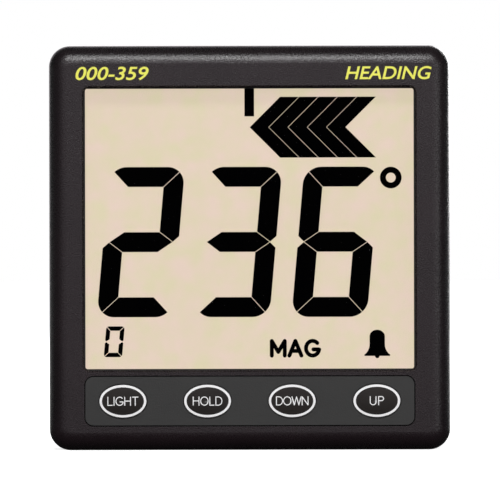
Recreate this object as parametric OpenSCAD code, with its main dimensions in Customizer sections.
/* [Case] */
// Width of the case, seen from the front
case_w = 110; // [96:1:130]
// Height of the case, seen from the front
case_h = 111; // [96:1:130]
// Depth of the case, from the panel it hangs on to its front face
case_d = 20; // [17:0.5:24]
// Radius of the four corners, seen from the front
case_corner_r = 5.8; // [5.4:0.1:7]
// Radius of the rounded front edge
case_edge_r = 5; // [4:0.1:5.2]
// Thickness of the side walls
case_wall = 2.5; // [2:0.1:2.8]
// Thickness of the front wall
case_front = 2.5; // [2.3:0.1:2.9]

/* [Window] */
// Distance from each side of the case to the display opening
window_side = 9.6; // [9:0.1:14]
// Distance from the top of the case to the display opening
window_top = 11.5; // [10:0.1:15]
// Corner radius of the display opening
window_r = 1.6; // [1:0.1:2.5]
// Thickness of the case lip in front of the lens
window_lip = 1.2; // [0.9:0.1:1.6]
// How far the lens reaches under the lip
lens_reach = 1.2; // [0.9:0.1:1.3]
// Thickness of the lens
lens_t = 2; // [1.5:0.1:2.5]
// Thickness of the adhesive gasket between lip and lens
tape_t = 0.3; // [0.2:0.05:0.5]
// Width of the gasket that shows inside the opening
tape_show = 0.4; // [0.2:0.05:0.8]

/* [Display] */
// Thickness of each sheet of display glass
glass_t = 1.1; // [0.7:0.1:1.3]
// Distance from the left edge of the display to the large digits
digit_left = 4.7; // [4:0.1:8]
// Distance from the large digits to the right edge of the display
digit_right = 10.9; // [10:0.1:14]
// Distance between two large digits
digit_gap = 5.85; // [5:0.05:8]
// Width of a stroke in the large digits
digit_stroke = 5.6; // [3:0.1:6]
// Lean of the digits in degrees
digit_lean = 5; // [0:1:8]
// Height of the small digit
small_digit_h = 8.6; // [5:0.2:9]
// Number of steering chevrons
chevron_count = 5; // [2:1:6]
// Distance from the chevrons to the right edge of the display
chevron_right = 10.1; // [8:0.1:14]
// Height of the chevrons
chevron_h = 16.8; // [10:0.2:18]

/* [Keys] */
// Distance from each side of the case to the strip round the keys
strip_side = 10; // [8:0.25:12]
// Height of the strip round the keys
strip_h = 13.3; // [12.6:0.1:15]
// Distance from the strip to the bottom of the case
strip_low = 6.95; // [6.25:0.05:10]
// Corner radius of the strip
strip_r = 2.2; // [1:0.1:4]
// Distance from the display opening to the strip
strip_gap = 1.7; // [1.2:0.05:2.5]
// Thickness of the strip
strip_t = 0.75; // [0.5:0.05:0.85]
// Distance between two keys
key_space = 10.15; // [8:0.05:12]
// Distance from the end of the strip to the first key
strip_end = 3.775; // [3:0.025:5]
// Distance from a key to the long edges of the strip
key_margin = 2.1; // [1.7:0.1:2.6]
// How far a key stands proud of the strip at its edge
key_proud = 0.3; // [0:0.05:0.8]
// Extra height of a key at its crown
key_crown = 0.4; // [0.2:0.05:0.8]
// How far a key travels when it is pressed
key_travel = 1.2; // [0.8:0.1:1.4]

/* [Rear cover] */
// Thickness of the cover plate
cover_t = 3; // [2.8:0.1:3.6]
// Distance from each side of the case to the boss that goes through the panel
boss_side = 11.5; // [10:0.5:15]
// Height of the boss that goes through the panel
boss_h = 67; // [62:1:70]
// Depth of the boss behind the panel seat
boss_d = 16; // [15:0.5:17]
// Wall of the boss
boss_wall = 2.2; // [1.8:0.1:2.6]
// Corner radius of the boss
boss_r = 4; // [3:0.25:6]
// Width of the panel gasket's band
gasket_band = 5; // [3:0.25:5]
// How far the panel gasket stands out of its groove
gasket_proud = 0.5; // [0.3:0.1:0.8]

/* [Rear fixing] */
// Distance from each end of the boss to a stud
stud_side = 13.5; // [12:0.5:18]
// Diameter of a stud
stud_d = 4; // [3.5:0.1:4.4]
// How far a stud reaches behind the boss
stud_reach = 22; // [21:0.5:28]
// Thickness of the panel that the clamp is set for
panel_t = 6; // [5:0.5:7]
// Depth of the clamp's legs
leg_h = 15; // [14.5:0.5:17]
// Thickness of the clamp's sheet metal
clamp_t = 1.5; // [1.2:0.1:2]
// Distance from the clamp's long edge to the cable noses
clamp_clear = 3.8; // [3:0.1:5]
// Length of a clamp foot
foot_l = 8; // [6:0.5:10]
// Span of a wing nut from tip to tip
wing_span = 19.6; // [16:0.2:19.8]

/* [Cable inlet] */
// Bore for one cable
cable_bore_d = 5.2; // [4:0.1:5.6]
// Distance between the two cable bores
cable_pitch = 10; // [9:0.25:11]

/* [Hidden] */
$fn = 72;

// Overrun of every cut past the face that it opens
cut = 0.6;
// Gap round a moulded or glass piece in its seat
seat_gap = 0.15;
// Gap between a screw or pin and the hole it turns in
thread_gap = 0.05;

// Shell, whose front edge is no rounder than its corners allow
corner_land = 0.2;
edge_r = min(case_edge_r, case_corner_r - corner_land);
cavity_w = case_w - 2 * case_wall;
cavity_h = case_h - 2 * case_wall;
cavity_corner_r = case_corner_r - case_wall;
cavity_edge_r = edge_r - case_wall;
flange_z = gasket_proud;
rim_z = flange_z + cover_t;
front_inner_z = case_d - case_front;
window_bevel = 0.4;

// Window and lens, from the front backwards
window_w = case_w - 2 * window_side;
window_h = case_h - window_top - strip_gap - strip_h - strip_low;
window_y = case_h / 2 - window_top - window_h / 2;
lip_z = case_d - window_lip;
lens_front_z = lip_z - tape_t;
lens_back_z = lens_front_z - lens_t;
lens_w = window_w + 2 * lens_reach;
lens_h = window_h + 2 * lens_reach;
lens_r = window_r + lens_reach / 2;

// Display cell, from the front backwards
lcd_air = 0.3;
polariser_t = 0.2;
cell_gap = 0.1;
glass_margin = 0.8;
ledge = 3;
seal_band = 0.8;
lcd_front_z = lens_back_z - lcd_air;
front_glass_z = lcd_front_z - polariser_t;
cell_z = front_glass_z - glass_t;
rear_glass_z = cell_z - cell_gap;
reflector_z = rear_glass_z - glass_t;
guide_z = reflector_z - polariser_t;

// The light guide takes this share of the depth that is left, the space behind the board the rest
guide_share = 0.435;
tray_floor_t = 1.5;
board_t = 1.6;
guide_t = guide_share * (guide_z - tray_floor_t - board_t - rim_z);
tray_floor_z = guide_z - guide_t;
board_z = tray_floor_z - tray_floor_t;
board_back_z = board_z - board_t;
glass_w = window_w + 2 * glass_margin;
glass_h = window_h + 2 * glass_margin;
view_w = window_w - 2 * tape_show;
view_h = window_h - 2 * tape_show;
guide_side = 3;
guide_end = 1.5;
guide_w = view_w - 2 * guide_side;
guide_h = view_h - 2 * guide_end;
zebra_w = 2;
zebra_inset = 2;
zebra_l = glass_w - 2 * zebra_inset;
zebra_y = window_y + glass_h / 2 + ledge / 2;

// Tray that holds the display
tray_wall = 1;
tray_air = 0.2;
tray_in_w = glass_w + 2 * seat_gap;
tray_in_h = glass_h + ledge + 2 * seat_gap;
tray_w = tray_in_w + 2 * tray_wall;
tray_h = tray_in_h + 2 * tray_wall;
tray_y = window_y + ledge / 2;
tray_top_z = lens_back_z - tray_air;

// Bosses and posts that stand between the tray and the side walls
boss_bite = 0.4;
corner_gap = 0.15;
side_space = (cavity_w - tray_w) / 2;
corner_boss_r = (side_space + boss_bite - corner_gap) / 2;
corner_boss_x = cavity_w / 2 - corner_boss_r + boss_bite;
corner_boss_y = cavity_h / 2 - corner_boss_r + boss_bite;
board_post_gap = 0.375;
board_post_r = side_space / 2 - board_post_gap;
board_post_x = (cavity_w - side_space) / 2;
board_post_inset = 15;
board_post_rise = 25;
board_post_top = cavity_h / 2 - board_post_inset;
board_post_low = board_post_rise - cavity_h / 2;

// Backlight lamps beside the light guide
led_count = 4;
led_w = 3.2;
led_t = 1.6;
led_share = 0.433;
led_h = tray_floor_t + led_share * guide_t;
led_gap = 0.2;
led_x = guide_w / 2 + led_gap + led_t / 2;
led_pitch = guide_h / led_count;

// Characters of the display, measured from the middle of the window
digit_r = 4.8;
digit_tip_share = 0.3;
digit_shoulder_share = 0.28;
chevron_top = 2.1;
chevron_low = 2.4;
chevron_x = 0.05;
chevron_y = view_h / 2 - chevron_top - chevron_h / 2;
chevron_pitch = (view_w / 2 - chevron_x - chevron_h / 2 - chevron_right) / chevron_count;
small_digit_w = 5.2;
small_digit_stroke = 1.35;
small_digit_r = 0.9;
small_digit_left = 5.15;
small_digit_low = 3.1;
small_digit_top = 2.35;
small_digit_x = (small_digit_w - view_w) / 2 + small_digit_left;
small_digit_y = (small_digit_h - view_h) / 2 + small_digit_low;
digit_top = chevron_top + chevron_h + chevron_low;
digit_low = small_digit_low + small_digit_h + small_digit_top;
digit_w = (view_w - digit_left - digit_right - 2 * digit_gap) / 3;
digit_h = view_h - digit_top - digit_low;
digit_pitch = digit_w + digit_gap;
digit_x = (digit_left - digit_right) / 2;
digit_y = (digit_low - digit_top) / 2;
segment_gap = 0.15;
arc_steps = 6;
degree_r = 2.98;
degree_bore_r = 1.35;
degree_gap = 4.75;
degree_drop = 3.1;
degree_x = digit_x + digit_pitch + digit_w / 2 + degree_gap;
degree_y = digit_y + digit_h / 2 - degree_drop;
marker_w = 2.65;
marker_h = 7.5;
bell_w = 7.15;
bell_h = 7.2;
bell_body_w = 4.2;
bell_flare_h = 3.2;
bell_dome_h = 1.8;
bell_lip = 0.5;
clapper_r = 0.62;
bell_right = 6.4;
bell_low = 3.35;
bell_x = (view_w - bell_w) / 2 - bell_right;
bell_y = bell_low - view_h / 2;

// Main board
board_gap = 0.5;
board_w = cavity_w - 2 * board_gap;
board_top = tray_y + tray_h / 2 + board_gap;
board_low_gap = 1.4;
board_low = -cavity_h / 2 + board_low_gap;
board_notch = corner_boss_r + board_gap;
board_hole_gap = 0.1;
screw_r = 1;
screw_head_r = 2;
head_inset = 0.2;
board_head_r = board_post_r - head_inset;
screw_head_h = 1.4;
screw_bite = 5;

// Strip, keys and keypad
strip_w = case_w - 2 * strip_side;
strip_recess = 0.9;
strip_air = 0.3;
strip_y = window_y - window_h / 2 - strip_gap - strip_h / 2;
strip_floor_z = case_d - strip_recess;
strip_face_z = strip_floor_z + strip_t;
key_count = 4;
key_w = (strip_w - 2 * strip_end - (key_count - 1) * key_space) / key_count;
key_h = strip_h - 2 * key_margin;
key_pitch = key_w + key_space;
key_gap = 0.2;
key_edge_z = strip_face_z + key_proud;
key_crown_z = key_edge_z + key_crown;
crown_r = (key_w * key_w / 4 + key_crown * key_crown) / (2 * key_crown);
key_stop_gap = 0.1;
key_flange_z = front_inner_z - key_stop_gap;
key_flange = 0.45;
key_flange_t = 1;
key_base_z = key_flange_z - key_flange_t;
skirt_rest = 0.2;
skirt_h = key_travel + skirt_rest;
skirt_t = 0.4;
skirt_top_share = 0.84;
mat_z = key_base_z - skirt_h;
mat_t = 1;
key_board_z = mat_z - mat_t;
key_board_t = 1.6;
contact_gap = 0.05;
contact_r = 2.5;
contact_t = 0.6;
contact_z = key_board_z + key_travel + contact_gap;
core_r = 2.5;
ring_inset = 0.1;
ring_w = 0.8;
ring_t = 0.3;
mat_w = strip_w;
mat_tray_gap = 0.25;
mat_key_gap = 0.2;
tray_low = tray_y - tray_h / 2;
mat_rim = tray_low - mat_tray_gap - mat_key_gap - (strip_y + key_h / 2 + key_flange);
mat_top = tray_low - mat_tray_gap;
mat_low = strip_y - strip_h / 2 - mat_rim;
mat_h = mat_top - mat_low;
mat_y = (mat_top + mat_low) / 2;
mat_hole_r = 3.1;
key_post_r = 1.9;
pad_t = 0.03;
pad_r = 2.6;
pad_slot = 0.5;
link_pins = 6;
link_gap = 1.955;
link_l = key_pitch - 2 * (screw_head_r + link_gap);
link_w = 2.5;
link_pin = 0.64;
link_stand = 0.4;
link_x = key_pitch / 2;

// Rear cover
boss_w = case_w - 2 * boss_side;
boss_end = 2.5;
boss_edge_r = 1.5;
cover_edge_r = 0.8;
lip_t = 1.5;
lip_air = 1.4;
lip_h = board_back_z - rim_z - lip_air;
seal_w = 1.1;
seal_h = 1;
seal_gap = 0.05;
gasket_offset = 1;
gasket_t = 2;
gasket_r = 2;
boss_floor_z = -boss_d + boss_end;
cover_screw_r = 1.25;
cover_head_r = 2.3;
cover_head_h = 1.6;
cover_head_sink = 0.2;
cover_screw_l = 11;
cross_l = 2.4;
cross_w = 0.5;
cross_d = 0.8;

// Stud inserts and studs
stud_pitch = boss_w - 2 * stud_side;
insert_r = 3.1;
insert_l = 8;
insert_wall = 1.6;
stud_r = stud_d / 2;
stud_bury = 6.5;
stud_chamfer = 0.5;

// Rear clamp, washers and wing nuts
leg_clear = 2;
bend_r = 1.5;
clamp_hole_gap = 0.3;
washer_gap = 0.1;
rib_h = 4;
rib_inset = 6;
washer_r = 4.5;
washer_t = 0.8;
nut_r = 4;
nut_top_r = 3.4;
nut_h = 4.6;
wing_t = 2;
wing_h = 10.5;
wing_tip_r = 2.2;
wing_root_z = 1.2;
leg_x = boss_w / 2 + leg_clear;
web_z = -(panel_t + leg_h);
washer_z = web_z - clamp_t;
nut_z = washer_z - washer_t;

// Cable grommet and vent
grommet_rise = 13.5;
grommet_y = grommet_rise - boss_h / 2;
grommet_side = 1;
grommet_w = cable_pitch + cable_bore_d + 2 * grommet_side;
grommet_h = 10.4;
grommet_r = 2;
grommet_flange = 1.5;
grommet_flange_t = 1.5;
nose_l = 5;
nose_r = 4.2;
nose_tip_r = 3.6;
clamp_w = -2 * (grommet_y + nose_r + clamp_clear);
vent_drop = 12.5;
vent_y = boss_h / 2 - vent_drop;
vent_r = 3;
vent_head_r = 5;
vent_head_t = 1.6;
vent_hole_r = 0.7;
vent_slot = 1.2;
vent_barb = 0.4;

// Parts on the back of the main board
chip_t = 2.2;
chip_stand = 0.3;
lead_w = 0.45;
lead_out = 1.1;
lead_t = 0.25;
processor_w = 16;
processor_leads = 11;
processor_lead_inset = 1.65;
processor_x = -14;
processor_y = 8;
driver_w = 18;
driver_h = 7.6;
driver_leads = 14;
driver_lead_inset = 0.745;
driver_x = -14;
driver_y = -12;
crystal_w = 11;
crystal_h = 4.6;
crystal_t = 3.5;
crystal_r = 2;
crystal_x = -14;
crystal_y = 22;
capacitor_r = 3.15;
capacitor_h = 7;
capacitor_pitch = 8;
capacitor_x = 6;
capacitor_y = 8;
capacitor_foot = 0.6;
regulator_w = 10;
regulator_h = 9;
regulator_t = 4.4;
regulator_tab_t = 1.3;
regulator_tab_h = 6;
regulator_hole_r = 1.8;
regulator_x = 17;
regulator_y = 6;
terminal_ways = 5;
terminal_pitch = 5;
terminal_d = 8;
terminal_t = 9;
terminal_side = 3.3;
terminal_y = terminal_side + terminal_d / 2 + boss_wall - boss_h / 2;
terminal_x = 9;
terminal_screw_r = 1.5;
terminal_screw_t = 1.2;
terminal_port = 3;
terminal_port_z = 1.8;
sounder_r = 8;
sounder_t = 5;
sounder_hole_r = 1;
sounder_side = 2.3;
sounder_top = 1.3;
sounder_x = boss_w / 2 - boss_wall - sounder_side - sounder_r;
sounder_y = boss_h / 2 - boss_wall - sounder_top - sounder_r;
small_l = 3.2;
small_w = 1.6;
small_t = 0.8;
small_pitch = 4;
small_row_pitch = 6;
small_rows = 3;
small_columns = 5;
small_x = -37;
small_y = -22;

// Colours
case_colour = [0.17, 0.165, 0.17];
strip_colour = [0.24, 0.235, 0.24];
key_colour = [0.1, 0.1, 0.105];
print_colour = [0.97, 0.97, 0.97];
display_colour = [0.886, 0.82, 0.733];
ink_colour = [0.01, 0.01, 0.012];
clear_colour = [0.85, 0.9, 0.9, 0.35];
rubber_colour = [0.12, 0.12, 0.12];
board_colour = [0.05, 0.32, 0.16];
steel_colour = [0.72, 0.73, 0.74];
brass_colour = [0.8, 0.62, 0.28];
gold_colour = [0.85, 0.68, 0.3];
white_colour = [0.9, 0.9, 0.88];
chip_colour = [0.06, 0.06, 0.065];

// Every module draws its piece lying on its back with the front upwards; this stands it up
module stand() {
    rotate([90, 0, 0]) children();
}

module rounded_rect(w, h, r) {
    square([w, h - 2 * r], center = true);
    square([w - 2 * r, h], center = true);
    for (x = [-1, 1], y = [-1, 1])
        translate([x * (w / 2 - r), y * (h / 2 - r)]) circle(r);
}

module plate(w, h, r, t) {
    linear_extrude(t) rounded_rect(w, h, r);
}

module band(w, h, r, t, wide) {
    difference() {
        plate(w, h, r, t);
        translate([0, 0, -cut])
            plate(w - 2 * wide, h - 2 * wide, max(r - wide, r / 4), t + 2 * cut);
    }
}

module oval(w, h) {
    scale([w / 2, h / 2]) circle(1);
}

// Half of an edge profile: cr wide, d high, with its outer top corner rounded to er
module edge_profile(cr, d, er) {
    square([cr, d - er]);
    square([cr - er, d]);
    translate([cr - er, d - er]) intersection() {
        circle(er);
        square([er, er]);
    }
}

// A box on z = 0 with plan corners of radius cr and its top edge rounded to er
module soft_box(w, h, d, cr, er) {
    translate([-w / 2 + cr, 0, 0]) rotate([90, 0, 90]) linear_extrude(w - 2 * cr) {
        edge_profile(h / 2, d, er);
        mirror([1, 0]) edge_profile(h / 2, d, er);
    }
    for (side = [0, 1]) mirror([side, 0, 0]) {
        translate([w / 2 - cr, 0, 0]) rotate([90, 0, 0])
            linear_extrude(h - 2 * cr, center = true) edge_profile(cr, d, er);
        for (end = [0, 1]) mirror([0, end, 0])
            translate([w / 2 - cr, h / 2 - cr, 0])
                rotate_extrude(angle = 90) edge_profile(cr, d, er);
    }
}

module at_corner_bosses() {
    for (x = [-1, 1], y = [-1, 1])
        translate([x * corner_boss_x, y * corner_boss_y, 0]) children();
}

module at_board_posts() {
    for (x = [-1, 1], y = [board_post_low, board_post_top])
        translate([x * board_post_x, y, 0]) children();
}

module at_key_posts() {
    for (i = [1 : key_count - 1])
        translate([(i - key_count / 2) * key_pitch, strip_y, 0]) children();
}

module at_key(i) {
    translate([(i - (key_count - 1) / 2) * key_pitch, strip_y, 0]) children();
}

module at_keys() {
    for (i = [0 : key_count - 1]) at_key(i) children();
}

module at_studs() {
    for (side = [-1, 1]) translate([side * stud_pitch / 2, 0, 0]) children();
}

// Case

module front_case() color(case_colour) stand() difference() {
    union() {
        difference() {
            translate([0, 0, rim_z])
                soft_box(case_w, case_h, case_d - rim_z, case_corner_r, edge_r);
            translate([0, 0, rim_z - cut])
                soft_box(cavity_w, cavity_h, front_inner_z - rim_z + cut,
                    cavity_corner_r, cavity_edge_r);
        }
        at_corner_bosses() translate([0, 0, rim_z])
            cylinder(r = corner_boss_r, h = front_inner_z - rim_z + boss_bite);
        at_board_posts() translate([0, 0, board_z])
            cylinder(r = board_post_r, h = front_inner_z - board_z + boss_bite);
        at_key_posts() translate([0, 0, key_board_z])
            cylinder(r = key_post_r, h = front_inner_z - key_board_z + boss_bite);
    }
    translate([0, window_y, 0]) {
        translate([0, 0, lip_z - cut])
            plate(window_w, window_h, window_r, window_lip + 2 * cut);
        translate([0, 0, front_inner_z - cut])
            plate(lens_w + 2 * seat_gap, lens_h + 2 * seat_gap, lens_r,
                lip_z - front_inner_z + cut);
        hull() {
            translate([0, 0, case_d - window_bevel])
                plate(window_w, window_h, window_r, window_bevel / 4, $fn = 32);
            translate([0, 0, case_d])
                plate(window_w + 2 * window_bevel, window_h + 2 * window_bevel,
                    window_r + window_bevel, window_bevel / 4, $fn = 32);
        }
    }
    translate([0, strip_y, strip_floor_z])
        plate(strip_w + 2 * strip_air, strip_h + 2 * strip_air, strip_r + strip_air,
            strip_recess + cut);
    at_keys() translate([0, 0, front_inner_z - cut])
        linear_extrude(case_front + 2 * cut) oval(key_w + 2 * key_gap, key_h + 2 * key_gap);
    at_corner_bosses() translate([0, 0, rim_z - cut])
        cylinder(r = cover_screw_r + thread_gap, h = cover_screw_l + cut);
    at_board_posts() translate([0, 0, board_z - cut])
        cylinder(r = screw_r + thread_gap, h = screw_bite + cut);
    at_key_posts() translate([0, 0, key_board_z - cut])
        cylinder(r = screw_r + thread_gap, h = front_inner_z - key_board_z + cut);
}

module window_lens() color(clear_colour) stand()
    translate([0, window_y, lens_back_z]) plate(lens_w, lens_h, lens_r, lens_t);

module window_gasket() color(rubber_colour) stand()
    translate([0, window_y, lens_front_z])
        band(lens_w, lens_h, lens_r, tape_t, lens_reach + tape_show);

// Strip and keys

module key_strip() color(strip_colour) stand() difference() {
    translate([0, strip_y, strip_floor_z]) plate(strip_w, strip_h, strip_r, strip_t);
    at_keys() translate([0, 0, strip_floor_z - cut])
        linear_extrude(strip_t + 2 * cut) oval(key_w + 2 * key_gap, key_h + 2 * key_gap);
}

// The space under a key's domed top, sunk below the crown by some depth
module under_crown(sink) {
    translate([0, 0, key_crown_z - crown_r - sink]) sphere(crown_r, $fn = 180);
}

// The groove for a key's ring, open at the top and as deep under the crown as the ring
module ring_groove() {
    difference() {
        translate([0, 0, key_flange_z])
            linear_extrude(key_crown_z - key_flange_z + cut) difference() {
                oval(key_w - 2 * ring_inset, key_h - 2 * ring_inset);
                oval(key_w - 2 * ring_inset - 2 * ring_w, key_h - 2 * ring_inset - 2 * ring_w);
            }
        under_crown(ring_t);
    }
}

module key_cap(i) color(key_colour) stand() at_key(i) {
    difference() {
        intersection() {
            translate([0, 0, key_base_z])
                linear_extrude(key_crown_z - key_base_z) oval(key_w, key_h);
            under_crown(0);
        }
        ring_groove();
    }
    translate([0, 0, key_base_z]) linear_extrude(key_flange_t)
        oval(key_w + 2 * key_flange, key_h + 2 * key_flange);
    translate([0, 0, contact_z + contact_t])
        cylinder(r = core_r, h = key_base_z - contact_z - contact_t + key_flange_t / 2);
}

module key_ring(i) color(print_colour) stand() at_key(i) intersection() {
    ring_groove();
    under_crown(0);
}

module skirt_cone(w, h) {
    scale([w / 2, h / 2, skirt_h]) cylinder(r1 = 1, r2 = skirt_top_share, h = 1);
}

module key_skirt(i) color(rubber_colour) stand() at_key(i) translate([0, 0, mat_z])
    difference() {
        skirt_cone(key_w, key_h);
        skirt_cone(key_w - 2 * skirt_t, key_h - 2 * skirt_t);
    }

module key_contact(i) color(chip_colour) stand() at_key(i) translate([0, 0, contact_z])
    cylinder(r = contact_r, h = contact_t);

module light_key() key_cap(0);
module hold_key() key_cap(1);
module down_key() key_cap(2);
module up_key() key_cap(3);
module light_key_ring() key_ring(0);
module hold_key_ring() key_ring(1);
module down_key_ring() key_ring(2);
module up_key_ring() key_ring(3);
module light_key_skirt() key_skirt(0);
module hold_key_skirt() key_skirt(1);
module down_key_skirt() key_skirt(2);
module up_key_skirt() key_skirt(3);
module light_key_contact() key_contact(0);
module hold_key_contact() key_contact(1);
module down_key_contact() key_contact(2);
module up_key_contact() key_contact(3);

module keypad_mat() color(rubber_colour) stand() difference() {
    translate([0, mat_y, key_board_z]) {
        plate(mat_w, mat_h, strip_r, mat_t);
        band(mat_w, mat_h, strip_r, front_inner_z - key_board_z, mat_rim);
    }
    at_keys() translate([0, 0, key_board_z - cut]) cylinder(r = mat_hole_r, h = mat_t + 2 * cut);
    at_key_posts() translate([0, 0, key_board_z - cut])
        cylinder(r = key_post_r + seat_gap, h = mat_t + 2 * cut);
}

module key_board() color(board_colour) stand() difference() {
    translate([0, mat_y, key_board_z - key_board_t]) plate(mat_w, mat_h, strip_r, key_board_t);
    at_key_posts() translate([0, 0, key_board_z - key_board_t - cut])
        cylinder(r = screw_r + board_hole_gap, h = key_board_t + 2 * cut);
}

// Two gold half discs under each key, a slot apart, sunk flush into the board's face
module key_board_pads() color(gold_colour) stand() at_keys()
    translate([0, 0, key_board_z]) difference() {
        cylinder(r = pad_r, h = pad_t);
        translate([-pad_slot / 2, -2 * pad_r, -cut]) cube([pad_slot, 4 * pad_r, 2 * cut]);
    }

// A pan-head screw whose head lies on z = 0 and whose shank points up
module pan_screw(shank_r, shank_l, head_r, head_h) {
    cylinder(r = shank_r, h = shank_l);
    difference() {
        translate([0, 0, -head_h]) cylinder(r = head_r, h = head_h);
        translate([0, 0, -head_h]) for (turn = [0, 90]) rotate([0, 0, turn])
            cube([cross_l, cross_w, 2 * cross_d], center = true);
    }
}

module key_board_screws() color(steel_colour) stand() at_key_posts()
    translate([0, 0, key_board_z - key_board_t])
        pan_screw(screw_r, key_board_t + mat_t, screw_head_r, screw_head_h);

module board_link() color(chip_colour) stand()
    translate([link_x, mat_y, board_z]) {
        reach = key_board_z - key_board_t - board_z;
        translate([0, 0, reach / 2])
            cube([link_l, link_w, reach - 2 * link_stand], center = true);
        for (i = [0 : link_pins - 1])
            translate([(i - (link_pins - 1) / 2) * link_l / link_pins, 0, reach / 2])
                cube([link_pin, link_pin, reach], center = true);
    }

// Display

module glass_sheet(z, t, extra) {
    translate([0, window_y + extra / 2, z - t]) linear_extrude(t)
        square([glass_w, glass_h + extra], center = true);
}

module lcd_front_polariser() color(clear_colour) stand()
    glass_sheet(lcd_front_z, polariser_t, 0);

module lcd_front_glass() color(clear_colour) stand()
    glass_sheet(front_glass_z, glass_t, ledge);

module lcd_rear_glass() color(clear_colour) stand()
    glass_sheet(rear_glass_z, glass_t, 0);

module lcd_reflector() color(display_colour) stand()
    glass_sheet(reflector_z, polariser_t, 0);

module lcd_seal() color(white_colour) stand()
    translate([0, window_y, rear_glass_z]) linear_extrude(cell_gap) difference() {
        square([glass_w, glass_h], center = true);
        square([glass_w - 2 * seal_band, glass_h - 2 * seal_band], center = true);
    }

function unit(v) = v / norm(v);
function normal(v) = [-v.y, v.x];
// Points along an arc, with no step as short as the gap between two segments
function turn(c, r, from, to) =
    let (n = max(1, min(arc_steps, floor(r * PI * abs(to - from) / 180 / segment_gap))))
    [for (i = [0 : n]) c + r * [cos(from + (to - from) * i / n), sin(from + (to - from) * i / n)]];

// The outline p, drawn anticlockwise, with each side moved inwards by d
function inset(p, d) = [for (i = [0 : len(p) - 1])
    let (a = p[(i + len(p) - 1) % len(p)], b = p[i], c = p[(i + 1) % len(p)],
        m = normal(unit(b - a)), n = normal(unit(c - b)))
    b + d * (m + n) / (1 + m * n)];

// Segments of a seven-segment figure w wide and h high, with stroke s and corner radius r,
// each drawn anticlockwise from the figure's lower left corner
function top_bar(w, h, s, r) = concat(
    [[w - s, h - s]], turn([w - r, h - r], r, 45, 90), turn([r, h - r], r, 90, 135), [[s, h - s]]);
function upper_left(w, h, s, r) = concat(
    [[s, h - s]], turn([r, h - r], r, 135, 180),
    [[0, h / 2 + s * digit_shoulder_share], [s * digit_tip_share, h / 2], [s, h / 2 + s / 2]]);
function middle_bar(w, h, s) = [
    [s * digit_tip_share, h / 2], [s, h / 2 - s / 2], [w - s, h / 2 - s / 2],
    [w - s * digit_tip_share, h / 2], [w - s, h / 2 + s / 2], [s, h / 2 + s / 2]];
function reverse(p) = [for (i = [len(p) - 1 : -1 : 0]) p[i]];
function flip_x(p, w) = reverse([for (q = p) [w - q.x, q.y]]);
function flip_y(p, h) = reverse([for (q = p) [q.x, h - q.y]]);
function segment(k, w, h, s, r) =
    k == "a" ? top_bar(w, h, s, r) :
    k == "b" ? flip_x(upper_left(w, h, s, r), w) :
    k == "c" ? flip_x(flip_y(upper_left(w, h, s, r), h), w) :
    k == "d" ? flip_y(top_bar(w, h, s, r), h) :
    k == "e" ? flip_y(upper_left(w, h, s, r), h) :
    k == "f" ? upper_left(w, h, s, r) : middle_bar(w, h, s);
function lean(p, w, h) = [for (q = p) [q.x - w / 2 + (q.y - h / 2) * tan(digit_lean), q.y - h / 2]];

// The segments that are dark for each figure
figures = ["abcdef", "bc", "abged", "abgcd", "fgbc", "afgcd", "afgedc", "abc", "abcdefg", "abcdfg"];

module figure(n, w, h, s, r) {
    for (k = figures[n]) polygon(inset(lean(segment(k, w, h, s, r), w, h), segment_gap / 2));
}

module chevron() {
    polygon(inset([
        [0, 0], [chevron_h / 2, -chevron_h / 2], [chevron_h / 2 + chevron_pitch, -chevron_h / 2],
        [chevron_pitch, 0], [chevron_h / 2 + chevron_pitch, chevron_h / 2],
        [chevron_h / 2, chevron_h / 2]], segment_gap / 3));
}

// An alarm bell on y = 0: a domed body that flares out to its lip, and the clapper below
module bell() {
    out = bell_w / 2 - bell_lip / 2;
    flare_w = out - bell_body_w / 2;
    flare_h = bell_flare_h - bell_lip;
    flare_turn = 2 * atan(flare_w / flare_h);
    flare_r = flare_h / sin(flare_turn);
    right = concat(
        turn([out, bell_lip / 2], bell_lip / 2, -90, 45),
        turn([bell_body_w / 2 + flare_r, bell_flare_h], flare_r, 180 + flare_turn, 180),
        [for (a = [0 : 15 : 90])
            [bell_body_w / 2 * cos(a), bell_h - bell_dome_h * (1 - sin(a))]]);
    polygon(concat(right, reverse([for (q = right) [-q.x, q.y]])));
    circle(clapper_r);
}

module lcd_segments() color(ink_colour) stand()
    translate([0, window_y, rear_glass_z]) linear_extrude(cell_gap) {
        for (i = [0 : 2]) translate([digit_x + (i - 1) * digit_pitch, digit_y])
            figure([2, 3, 6][i], digit_w, digit_h, digit_stroke, digit_r);
        translate([degree_x, degree_y]) difference() {
            circle(degree_r);
            circle(degree_bore_r);
        }
        translate([-marker_w / 2, view_h / 2 - marker_h])
            square([marker_w, marker_h + tape_show]);
        for (i = [0 : chevron_count - 1])
            translate([chevron_x + i * chevron_pitch, chevron_y]) chevron();
        translate([small_digit_x, small_digit_y])
            figure(0, small_digit_w, small_digit_h, small_digit_stroke, small_digit_r);
        translate([bell_x, bell_y]) bell();
    }

module light_guide() color(white_colour) stand()
    translate([0, window_y, tray_floor_z]) linear_extrude(guide_t)
        square([guide_w, guide_h], center = true);

module at_leds() {
    for (side = [-1, 1], i = [0 : led_count - 1])
        translate([side * led_x, window_y + (i - (led_count - 1) / 2) * led_pitch, board_z])
            children();
}

module backlight_leds() color([0.9, 0.85, 0.4]) stand() at_leds()
    translate([-led_t / 2, -led_w / 2, 0]) cube([led_t, led_w, led_h]);

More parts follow.
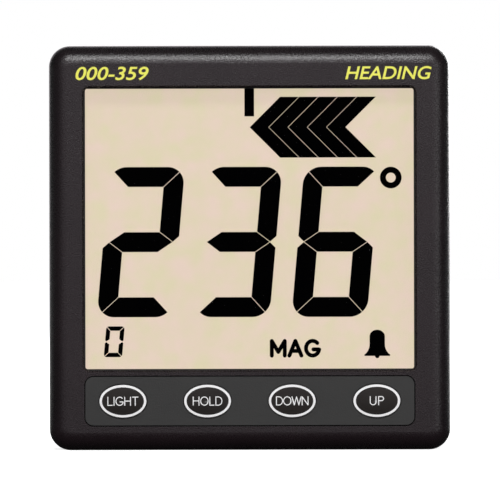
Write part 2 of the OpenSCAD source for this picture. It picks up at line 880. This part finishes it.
module display_tray() color(white_colour) stand() difference() {
    translate([0, tray_y, board_z]) linear_extrude(tray_top_z - board_z)
        square([tray_w, tray_h], center = true);
    translate([0, tray_y, tray_floor_z]) linear_extrude(tray_top_z - board_z)
        square([tray_in_w, tray_in_h], center = true);
    translate([0, zebra_y, board_z - cut]) linear_extrude(tray_floor_t + 2 * cut)
        square([zebra_l + 2 * seat_gap, zebra_w + 2 * seat_gap], center = true);
    at_leds() translate([-led_t / 2 - seat_gap, -led_w / 2 - seat_gap, -cut])
        cube([led_t + 2 * seat_gap, led_w + 2 * seat_gap, tray_floor_t + 2 * cut]);
}

module zebra_strip() color(rubber_colour) stand()
    translate([0, zebra_y, board_z]) linear_extrude(cell_z - board_z)
        square([zebra_l, zebra_w], center = true);

// Main board and what is soldered to it

module main_board() color(board_colour) stand() difference() {
    translate([-board_w / 2, board_low, board_back_z]) cube([board_w, board_top - board_low, board_t]);
    at_corner_bosses() translate([0, 0, board_back_z - cut]) linear_extrude(board_t + 2 * cut)
        square(2 * board_notch, center = true);
    at_board_posts() translate([0, 0, board_back_z - cut])
        cylinder(r = screw_r + board_hole_gap, h = board_t + 2 * cut);
}

module main_board_screws() color(steel_colour) stand() at_board_posts()
    translate([0, 0, board_back_z])
        pan_screw(screw_r, screw_bite + board_t - thread_gap, board_head_r, screw_head_h);

// Pieces on the board's back hang from z = board_back_z towards the rear
module on_board(x, y) {
    translate([x, y, board_back_z]) mirror([0, 0, 1]) children();
}

// Gull-wing leads over some span along one side of a chip whose body reaches to x = edge
module lead_row(count, span, edge) {
    for (i = [0 : count - 1])
        translate([edge - lead_t, (i / (count - 1) - 1 / 2) * span - lead_w / 2, 0]) {
            cube([lead_out + lead_t, lead_w, lead_t]);
            cube([2 * lead_t, lead_w, chip_stand + chip_t / 2]);
        }
}

module processor_chip() color(chip_colour) stand() on_board(processor_x, processor_y) {
    translate([0, 0, chip_stand + chip_t / 2]) cube([processor_w, processor_w, chip_t], center = true);
    for (side = [0 : 90 : 270]) rotate([0, 0, side])
        lead_row(processor_leads, processor_w - 2 * processor_lead_inset, processor_w / 2);
}

module display_driver_chip() color(chip_colour) stand() on_board(driver_x, driver_y) {
    translate([0, 0, chip_stand + chip_t / 2]) cube([driver_w, driver_h, chip_t], center = true);
    for (side = [90, 270]) rotate([0, 0, side])
        lead_row(driver_leads, driver_w - 2 * driver_lead_inset, driver_h / 2);
}

module crystal() color(steel_colour) stand() on_board(crystal_x, crystal_y)
    plate(crystal_w, crystal_h, crystal_r, crystal_t);

module capacitors() color([0.12, 0.14, 0.3]) stand()
    for (i = [0 : 2]) on_board(capacitor_x, capacitor_y + (i - 1) * capacitor_pitch) {
        cylinder(r = capacitor_r, h = capacitor_h);
        translate([-capacitor_r, -capacitor_r, 0])
            cube([2 * capacitor_r, 2 * capacitor_r, capacitor_foot]);
    }

module voltage_regulator() color(chip_colour) stand() on_board(regulator_x, regulator_y) {
    translate([-regulator_w / 2, -regulator_h, 0]) cube([regulator_w, regulator_h, regulator_t]);
    difference() {
        translate([-regulator_w / 2, 0, 0])
            cube([regulator_w, regulator_tab_h, regulator_tab_t]);
        translate([0, regulator_tab_h / 2, -cut])
            cylinder(r = regulator_hole_r, h = regulator_tab_t + 2 * cut);
    }
}

module at_terminals() {
    for (i = [0 : terminal_ways - 1])
        translate([(i - (terminal_ways - 1) / 2) * terminal_pitch, 0, 0]) children();
}

module terminal_block() color([0.1, 0.35, 0.2]) stand() on_board(terminal_x, terminal_y) difference() {
    translate([-terminal_ways * terminal_pitch / 2, -terminal_d / 2, 0])
        cube([terminal_ways * terminal_pitch, terminal_d, terminal_t]);
    at_terminals() {
        translate([0, 0, terminal_t - 2 * terminal_screw_t])
            cylinder(r = terminal_screw_r + thread_gap, h = 2 * terminal_screw_t + cut);
        translate([-terminal_port / 2, -terminal_d / 2 - cut, terminal_port_z])
            cube([terminal_port, terminal_d / 2, terminal_port]);
    }
}

module terminal_screws() color(steel_colour) stand() on_board(terminal_x, terminal_y)
    at_terminals() translate([0, 0, terminal_t - 2 * terminal_screw_t]) difference() {
        cylinder(r = terminal_screw_r, h = terminal_screw_t);
        translate([-terminal_screw_r, -cross_w / 2, terminal_screw_t - cross_d / 2])
            cube([2 * terminal_screw_r, cross_w, cross_d]);
    }

module sounder() color(chip_colour) stand() on_board(sounder_x, sounder_y) difference() {
    cylinder(r = sounder_r, h = sounder_t);
    translate([0, 0, sounder_t - sounder_hole_r]) cylinder(r = sounder_hole_r, h = sounder_hole_r + cut);
}

module small_components() color([0.75, 0.68, 0.5]) stand()
    for (row = [0 : small_rows - 1], column = [0 : small_columns - 1])
        on_board(small_x + row * small_pitch, small_y + column * small_row_pitch)
            translate([-small_w / 2, -small_l / 2, 0]) cube([small_w, small_l, small_t]);

// Rear cover and its seals

module boss_outline(grow, z, t) {
    translate([0, 0, z])
        plate(boss_w + 2 * grow, boss_h + 2 * grow, boss_r + max(grow, -boss_r / 2), t);
}

module rear_cover() color(case_colour) stand() {
    difference() {
        union() {
            translate([0, 0, rim_z]) mirror([0, 0, 1])
                soft_box(case_w, case_h, cover_t, case_corner_r, cover_edge_r);
            translate([0, 0, rim_z]) mirror([0, 0, 1])
                soft_box(boss_w, boss_h, rim_z + boss_d, boss_r, boss_edge_r);
            translate([0, 0, rim_z - cut])
                band(cavity_w - 2 * seat_gap, cavity_h - 2 * seat_gap,
                    cavity_corner_r - seat_gap, lip_h + cut, lip_t);
        }
        boss_outline(-boss_wall, boss_floor_z, rim_z - boss_floor_z + cut);
        translate([0, 0, flange_z - cut])
            band(boss_w + 2 * (gasket_offset + gasket_band) + 2 * seal_gap,
                boss_h + 2 * (gasket_offset + gasket_band) + 2 * seal_gap,
                boss_r + gasket_r, gasket_t - gasket_proud + cut, gasket_band + 2 * seal_gap);
        translate([0, 0, rim_z - seal_h])
            band(case_w - case_wall + seal_w + 2 * seal_gap, case_h - case_wall + seal_w + 2 * seal_gap,
                case_corner_r - case_wall / 2, seal_h + cut, seal_w + 2 * seal_gap);
        at_corner_bosses() {
            translate([0, 0, flange_z - cut])
                cylinder(r = cover_screw_r + seat_gap, h = cover_t + lip_h + 2 * cut);
            translate([0, 0, flange_z - cut])
                cylinder(r = cover_head_r + seat_gap, h = cover_head_h + cover_head_sink + cut);
            translate([0, 0, rim_z]) cylinder(r = corner_boss_r + seat_gap, h = lip_h + cut);
        }
        at_studs() translate([0, 0, -boss_d - cut])
            cylinder(r = insert_r + thread_gap, h = boss_end + 2 * cut);
        translate([0, grommet_y, -boss_d - cut])
            plate(grommet_w + 2 * thread_gap, grommet_h + 2 * thread_gap, grommet_r, boss_end + 2 * cut);
        translate([0, vent_y, -boss_d - cut])
            cylinder(r = vent_r + thread_gap, h = boss_end + 2 * cut);
    }
    at_studs() difference() {
        translate([0, 0, boss_floor_z - boss_bite])
            cylinder(r = insert_r + insert_wall, h = insert_l - boss_end + boss_bite);
        translate([0, 0, -boss_d - cut])
            cylinder(r = insert_r + thread_gap, h = insert_l + 2 * cut);
    }
}

module cover_seal() color(rubber_colour) stand() translate([0, 0, rim_z - seal_h])
    band(case_w - case_wall + seal_w, case_h - case_wall + seal_w,
        case_corner_r - case_wall / 2, seal_h, seal_w);

module cover_screws() color(steel_colour) stand() at_corner_bosses()
    translate([0, 0, flange_z + cover_head_h + cover_head_sink])
        pan_screw(cover_screw_r, cover_screw_l, cover_head_r, cover_head_h);

module panel_gasket() color(rubber_colour) stand()
    band(boss_w + 2 * (gasket_offset + gasket_band), boss_h + 2 * (gasket_offset + gasket_band),
        boss_r + gasket_r, gasket_t, gasket_band);

module cable_grommet() color(rubber_colour) stand() translate([0, grommet_y, 0]) difference() {
    union() {
        translate([0, 0, -boss_d]) plate(grommet_w, grommet_h, grommet_r, boss_end);
        for (z = [-boss_d - grommet_flange_t, boss_floor_z]) translate([0, 0, z])
            plate(grommet_w + 2 * grommet_flange, grommet_h + 2 * grommet_flange,
                grommet_r + grommet_flange, grommet_flange_t);
        for (side = [-1, 1]) translate([side * cable_pitch / 2, 0, -boss_d - grommet_flange_t])
            mirror([0, 0, 1]) cylinder(r1 = nose_r, r2 = nose_tip_r, h = nose_l);
    }
    for (side = [-1, 1]) translate([side * cable_pitch / 2, 0, 0])
        translate([0, 0, -boss_d - grommet_flange_t - nose_l - cut])
            cylinder(d = cable_bore_d, h = boss_end + 2 * grommet_flange_t + nose_l + 2 * cut);
}

module vent_plug() color(rubber_colour) stand() translate([0, vent_y, -boss_d]) difference() {
    union() {
        cylinder(r = vent_r, h = boss_end);
        translate([0, 0, boss_end]) cylinder(r1 = vent_r + vent_barb, r2 = vent_r, h = vent_head_t);
        mirror([0, 0, 1]) cylinder(r = vent_head_r, h = vent_head_t);
    }
    translate([0, 0, -vent_head_t / 2]) cylinder(r = vent_hole_r, h = boss_end + 2 * vent_head_t);
    for (turn = [0, 90]) rotate([0, 0, turn])
        translate([-vent_head_r - cut, -vent_slot / 2, -vent_head_t + vent_slot / 2])
            cube([2 * vent_head_r + 2 * cut, vent_slot, vent_slot / 2]);
}

// Rear fixing

module stud_inserts() color(brass_colour) stand() at_studs() translate([0, 0, -boss_d])
    difference() {
        cylinder(r = insert_r, h = insert_l);
        translate([0, 0, -cut]) cylinder(r = stud_r + thread_gap, h = insert_l + 2 * cut);
    }

module mounting_studs() color(steel_colour) stand() at_studs()
    translate([0, 0, -boss_d - stud_reach]) {
        cylinder(r1 = stud_r - stud_chamfer, r2 = stud_r, h = stud_chamfer);
        translate([0, 0, stud_chamfer]) cylinder(r = stud_r, h = stud_reach + stud_bury - stud_chamfer);
    }

// A quarter ring of bent sheet round the origin, in the quarter where x and y are positive
module bend() {
    intersection() {
        difference() {
            circle(bend_r + clamp_t);
            circle(bend_r);
        }
        square(bend_r + clamp_t);
    }
}

// One half of the clamp's section, in x and z
module clamp_half_profile() {
    bend_x = leg_x - bend_r;
    translate([0, web_z - clamp_t]) square([bend_x, clamp_t]);
    translate([bend_x, web_z + bend_r]) mirror([0, 1]) bend();
    translate([leg_x, web_z + bend_r])
        square([clamp_t, -panel_t - clamp_t - bend_r - web_z - bend_r]);
    translate([leg_x + clamp_t + bend_r, -panel_t - clamp_t - bend_r]) mirror([1, 0]) bend();
    translate([leg_x + clamp_t + bend_r, -panel_t - clamp_t])
        square([foot_l - clamp_t - bend_r, clamp_t]);
}

module rear_clamp() color(steel_colour) stand() difference() {
    union() {
        rotate([90, 0, 0]) linear_extrude(clamp_w, center = true) {
            clamp_half_profile();
            mirror([1, 0]) clamp_half_profile();
        }
        for (side = [0, 1]) mirror([0, side, 0])
            translate([0, clamp_w / 2, 0]) rotate([90, 0, 0]) linear_extrude(clamp_t)
                polygon([
                    [-leg_x + rib_inset, web_z - clamp_t / 2], [leg_x - rib_inset, web_z - clamp_t / 2],
                    [leg_x - rib_inset - rib_h, web_z - clamp_t - rib_h],
                    [-leg_x + rib_inset + rib_h, web_z - clamp_t - rib_h]]);
    }
    at_studs() translate([0, 0, web_z - clamp_t - cut])
        cylinder(r = stud_r + clamp_hole_gap, h = clamp_t + 2 * cut);
}

module clamp_washers() color(steel_colour) stand() at_studs()
    translate([0, 0, nut_z]) difference() {
        cylinder(r = washer_r, h = washer_t);
        translate([0, 0, -cut]) cylinder(r = stud_r + washer_gap, h = washer_t + 2 * cut);
    }

module wing() {
    rotate([90, 0, 0]) linear_extrude(wing_t, center = true) hull() {
        translate([wing_span / 2 - wing_tip_r, wing_h - wing_tip_r]) circle(wing_tip_r, $fn = 32);
        translate([nut_top_r / 2, wing_root_z]) square([nut_top_r / 2, nut_h - wing_root_z]);
    }
}

module wing_nut(side) color(steel_colour) stand()
    translate([side * stud_pitch / 2, 0, nut_z]) mirror([0, 0, 1]) difference() {
        union() {
            cylinder(r1 = nut_r, r2 = nut_top_r, h = nut_h);
            wing();
            mirror([1, 0, 0]) wing();
        }
        translate([0, 0, -cut]) cylinder(r = stud_r + thread_gap, h = wing_h + 2 * cut);
    }

module left_wing_nut() wing_nut(-1);
module right_wing_nut() wing_nut(1);

front_case();
window_lens();
window_gasket();
key_strip();
light_key();
hold_key();
down_key();
up_key();
light_key_ring();
hold_key_ring();
down_key_ring();
up_key_ring();
light_key_skirt();
hold_key_skirt();
down_key_skirt();
up_key_skirt();
light_key_contact();
hold_key_contact();
down_key_contact();
up_key_contact();
keypad_mat();
key_board();
key_board_pads();
key_board_screws();
board_link();
lcd_front_polariser();
lcd_front_glass();
lcd_segments();
lcd_seal();
lcd_rear_glass();
lcd_reflector();
light_guide();
backlight_leds();
display_tray();
zebra_strip();
main_board();
main_board_screws();
processor_chip();
display_driver_chip();
crystal();
capacitors();
voltage_regulator();
terminal_block();
terminal_screws();
sounder();
small_components();
rear_cover();
cover_seal();
cover_screws();
panel_gasket();
stud_inserts();
mounting_studs();
rear_clamp();
clamp_washers();
left_wing_nut();
right_wing_nut();
cable_grommet();
vent_plug();
